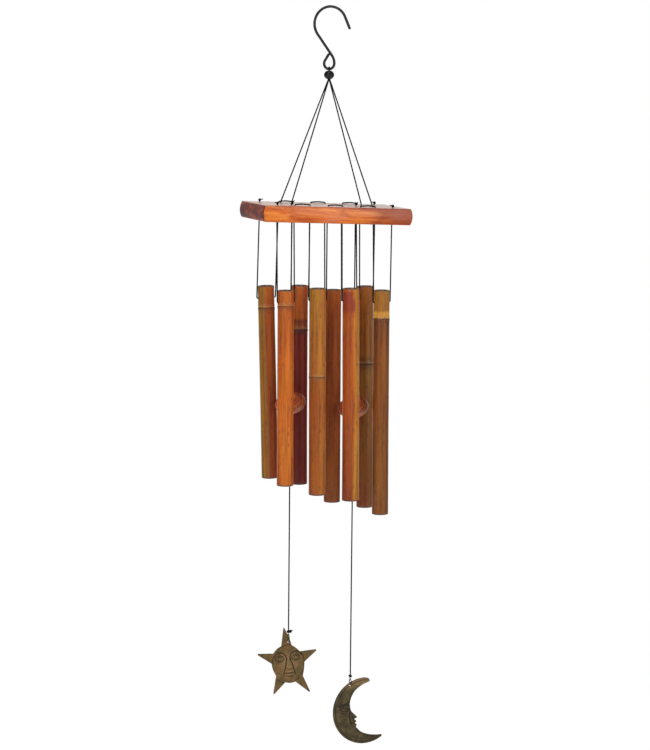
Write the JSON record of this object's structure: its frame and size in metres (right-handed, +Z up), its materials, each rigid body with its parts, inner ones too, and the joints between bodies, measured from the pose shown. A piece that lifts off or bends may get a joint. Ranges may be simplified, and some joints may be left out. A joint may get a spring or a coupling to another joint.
{
  "type": "wind chime",
  "caption": "Bamboo wind chime: tubes hung on cord under a wooden bar, with wooden clappers and cast star and moon charms below, on a wire S-hook.",
  "frame": {"origin": "inside top of the S-hook's open bow, where it rests on the nail, branch or ring it is hung from", "axes": "+X along the wooden bar to the right seen from the front, +Y from the front row of tubes to the rear row, +Z up"},
  "size_m": [0.1909, 0.082, 0.9048],
  "materials": {
    "hook_wire": "satin",
    "cord": "matte",
    "bead_black": "gloss",
    "bar_wood": "satin",
    "clapper_wood": "satin",
    "bamboo_1": "gloss",
    "bamboo_2": "gloss",
    "bamboo_3": "gloss",
    "bamboo_4": "gloss",
    "bamboo_5": "gloss",
    "bamboo_6": "gloss",
    "bamboo_7": "gloss",
    "bamboo_8": "gloss",
    "star_casting": "satin",
    "moon_casting": "satin"
  },
  "bodies": {
    "hook": {"s_hook": "hook_wire"},
    "cord_loop": {"hang_loop": "cord"},
    "canopy": {"bead": "bead_black", "gather_knot": "cord", "suspension_cord_left": "cord", "suspension_cord_right": "cord", "top_bar": "bar_wood", "clapper_knot_1": "cord", "clapper_knot_2": "cord", "front_knot_left": "cord", "front_knot_right": "cord", "front_stitch_1": "cord", "front_stitch_2": "cord", "front_stitch_3": "cord", "rear_knot_left": "cord", "rear_knot_right": "cord", "rear_stitch_1": "cord", "rear_stitch_2": "cord", "rear_stitch_3": "cord"},
    "cord_of_tube_1": {"tube_cord_1": "cord"},
    "tube_1": {"bamboo_tube_1": "bamboo_1"},
    "cord_of_tube_2": {"tube_cord_2": "cord"},
    "tube_2": {"bamboo_tube_2": "bamboo_2"},
    "cord_of_tube_3": {"tube_cord_3": "cord"},
    "tube_3": {"bamboo_tube_3": "bamboo_3"},
    "cord_of_tube_4": {"tube_cord_4": "cord"},
    "tube_4": {"bamboo_tube_4": "bamboo_4"},
    "cord_of_tube_5": {"tube_cord_5": "cord"},
    "tube_5": {"bamboo_tube_5": "bamboo_5"},
    "cord_of_tube_6": {"tube_cord_6": "cord"},
    "tube_6": {"bamboo_tube_6": "bamboo_6"},
    "cord_of_tube_7": {"tube_cord_7": "cord"},
    "tube_7": {"bamboo_tube_7": "bamboo_7"},
    "cord_of_tube_8": {"tube_cord_8": "cord"},
    "tube_8": {"bamboo_tube_8": "bamboo_8"},
    "left_clapper_cord": {"clapper_cord_1": "cord"},
    "left_clapper": {"clapper_disc_1": "clapper_wood", "star_cord": "cord", "star_tie": "cord"},
    "star": {"star_charm": "star_casting"},
    "right_clapper_cord": {"clapper_cord_2": "cord"},
    "right_clapper": {"clapper_disc_2": "clapper_wood", "moon_cord": "cord", "moon_tie": "cord"},
    "moon": {"moon_charm": "moon_casting"}
  },
  "joints": [
    {"name": "chime_swings_fore_and_aft", "type": "hinge", "parent": "hook", "child": "cord_loop", "pos_m": [-0.0012, 0, -0.07203], "axis": [1, 0, 0], "range_deg": [-15, 15]},
    {"name": "chime_sways_side_to_side", "type": "hinge", "parent": "cord_loop", "child": "canopy", "pos_m": [-0.0012, 0, -0.07947], "axis": [0, 1, 0], "range_deg": [-8, 8]},
    {"name": "tube_1_swings_on_its_cord", "type": "hinge", "parent": "canopy", "child": "cord_of_tube_1", "pos_m": [-0.06632, 0.02825, -0.25071], "axis": [0.9991, 0, -0.0419], "range_deg": [-0.8, 20]},
    {"name": "tube_1_rocks_on_the_cross_cord", "type": "hinge", "parent": "cord_of_tube_1", "child": "tube_1", "pos_m": [-0.0687, 0.02825, -0.3461], "axis": [0.9995, 0, 0.0314], "range_deg": [-1.4, 15]},
    {"name": "tube_2_swings_on_its_cord", "type": "hinge", "parent": "canopy", "child": "cord_of_tube_2", "pos_m": [-0.06632, -0.02825, -0.25071], "axis": [0.9991, 0, -0.0419], "range_deg": [-20, 0.8]},
    {"name": "tube_2_rocks_on_the_cross_cord", "type": "hinge", "parent": "cord_of_tube_2", "child": "tube_2", "pos_m": [-0.0651, -0.02825, -0.3462], "axis": [1, 0, 0.0052], "range_deg": [-15, 1.4]},
    {"name": "tube_3_swings_on_its_cord", "type": "hinge", "parent": "canopy", "child": "cord_of_tube_3", "pos_m": [-0.02456, 0.02825, -0.25246], "axis": [0.9991, 0, -0.0419], "range_deg": [-0.8, 20]},
    {"name": "tube_3_rocks_on_the_cross_cord", "type": "hinge", "parent": "cord_of_tube_3", "child": "tube_3", "pos_m": [-0.02533, 0.02825, -0.3469], "axis": [1, 0, 0.0035], "range_deg": [-1.4, 15]},
    {"name": "tube_4_swings_on_its_cord", "type": "hinge", "parent": "canopy", "child": "cord_of_tube_4", "pos_m": [-0.02456, -0.02825, -0.25246], "axis": [0.9991, 0, -0.0419], "range_deg": [-20, 0.8]},
    {"name": "tube_4_rocks_on_the_cross_cord", "type": "hinge", "parent": "cord_of_tube_4", "child": "tube_4", "pos_m": [-0.02453, -0.02825, -0.345], "axis": [1, 0, 0.0052], "range_deg": [-15, 1.4]},
    {"name": "tube_5_swings_on_its_cord", "type": "hinge", "parent": "canopy", "child": "cord_of_tube_5", "pos_m": [0.01721, 0.02825, -0.25421], "axis": [0.9991, 0, -0.0419], "range_deg": [-0.8, 20]},
    {"name": "tube_5_rocks_on_the_cross_cord", "type": "hinge", "parent": "cord_of_tube_5", "child": "tube_5", "pos_m": [0.01843, 0.02825, -0.3534], "axis": [1, 0, 0.0017], "range_deg": [-1.4, 15]},
    {"name": "tube_6_swings_on_its_cord", "type": "hinge", "parent": "canopy", "child": "cord_of_tube_6", "pos_m": [0.01721, -0.02825, -0.25421], "axis": [0.9991, 0, -0.0419], "range_deg": [-20, 0.8]},
    {"name": "tube_6_rocks_on_the_cross_cord", "type": "hinge", "parent": "cord_of_tube_6", "child": "tube_6", "pos_m": [0.01823, -0.02825, -0.3463], "axis": [1, 0, 0.0087], "range_deg": [-15, 1.4]},
    {"name": "tube_7_swings_on_its_cord", "type": "hinge", "parent": "canopy", "child": "cord_of_tube_7", "pos_m": [0.05897, 0.02825, -0.25596], "axis": [0.9991, 0, -0.0419], "range_deg": [-0.8, 20]},
    {"name": "tube_7_rocks_on_the_cross_cord", "type": "hinge", "parent": "cord_of_tube_7", "child": "tube_7", "pos_m": [0.0606, 0.02825, -0.3503], "axis": [0.9999, 0, 0.0105], "range_deg": [-1.4, 15]},
    {"name": "tube_8_swings_on_its_cord", "type": "hinge", "parent": "canopy", "child": "cord_of_tube_8", "pos_m": [0.05897, -0.02825, -0.25596], "axis": [0.9991, 0, -0.0419], "range_deg": [-20, 0.8]},
    {"name": "tube_8_rocks_on_the_cross_cord", "type": "hinge", "parent": "cord_of_tube_8", "child": "tube_8", "pos_m": [0.05819, -0.02825, -0.3497], "axis": [1, 0, 0.007], "range_deg": [-15, 1.4]},
    {"name": "left_clapper_swings", "type": "hinge", "parent": "canopy", "child": "left_clapper_cord", "pos_m": [-0.04744, 0, -0.2515], "axis": [1, 0, 0], "range_deg": [-0.8, 0.8]},
    {"name": "left_clapper_turns_on_its_cord", "type": "hinge", "parent": "left_clapper_cord", "child": "left_clapper", "pos_m": [-0.04744, 0, -0.4716], "axis": [0, 0, 1], "range_deg": [-90, 90]},
    {"name": "star_swings_on_its_tie", "type": "hinge", "parent": "left_clapper", "child": "star", "pos_m": [-0.04744, 0, -0.7651], "axis": [0, 1, 0], "range_deg": [-25, 1]},
    {"name": "right_clapper_swings", "type": "hinge", "parent": "canopy", "child": "right_clapper_cord", "pos_m": [0.03469, 0, -0.25494], "axis": [1, 0, 0], "range_deg": [-0.8, 0.8]},
    {"name": "right_clapper_turns_on_its_cord", "type": "hinge", "parent": "right_clapper_cord", "child": "right_clapper", "pos_m": [0.03469, 0, -0.4802], "axis": [0, 0, 1], "range_deg": [-90, 90]},
    {"name": "moon_swings_on_its_tie", "type": "hinge", "parent": "right_clapper", "child": "moon", "pos_m": [0.03469, 0, -0.8262], "axis": [0, 1, 0], "range_deg": [-25, 25]}
  ]
}
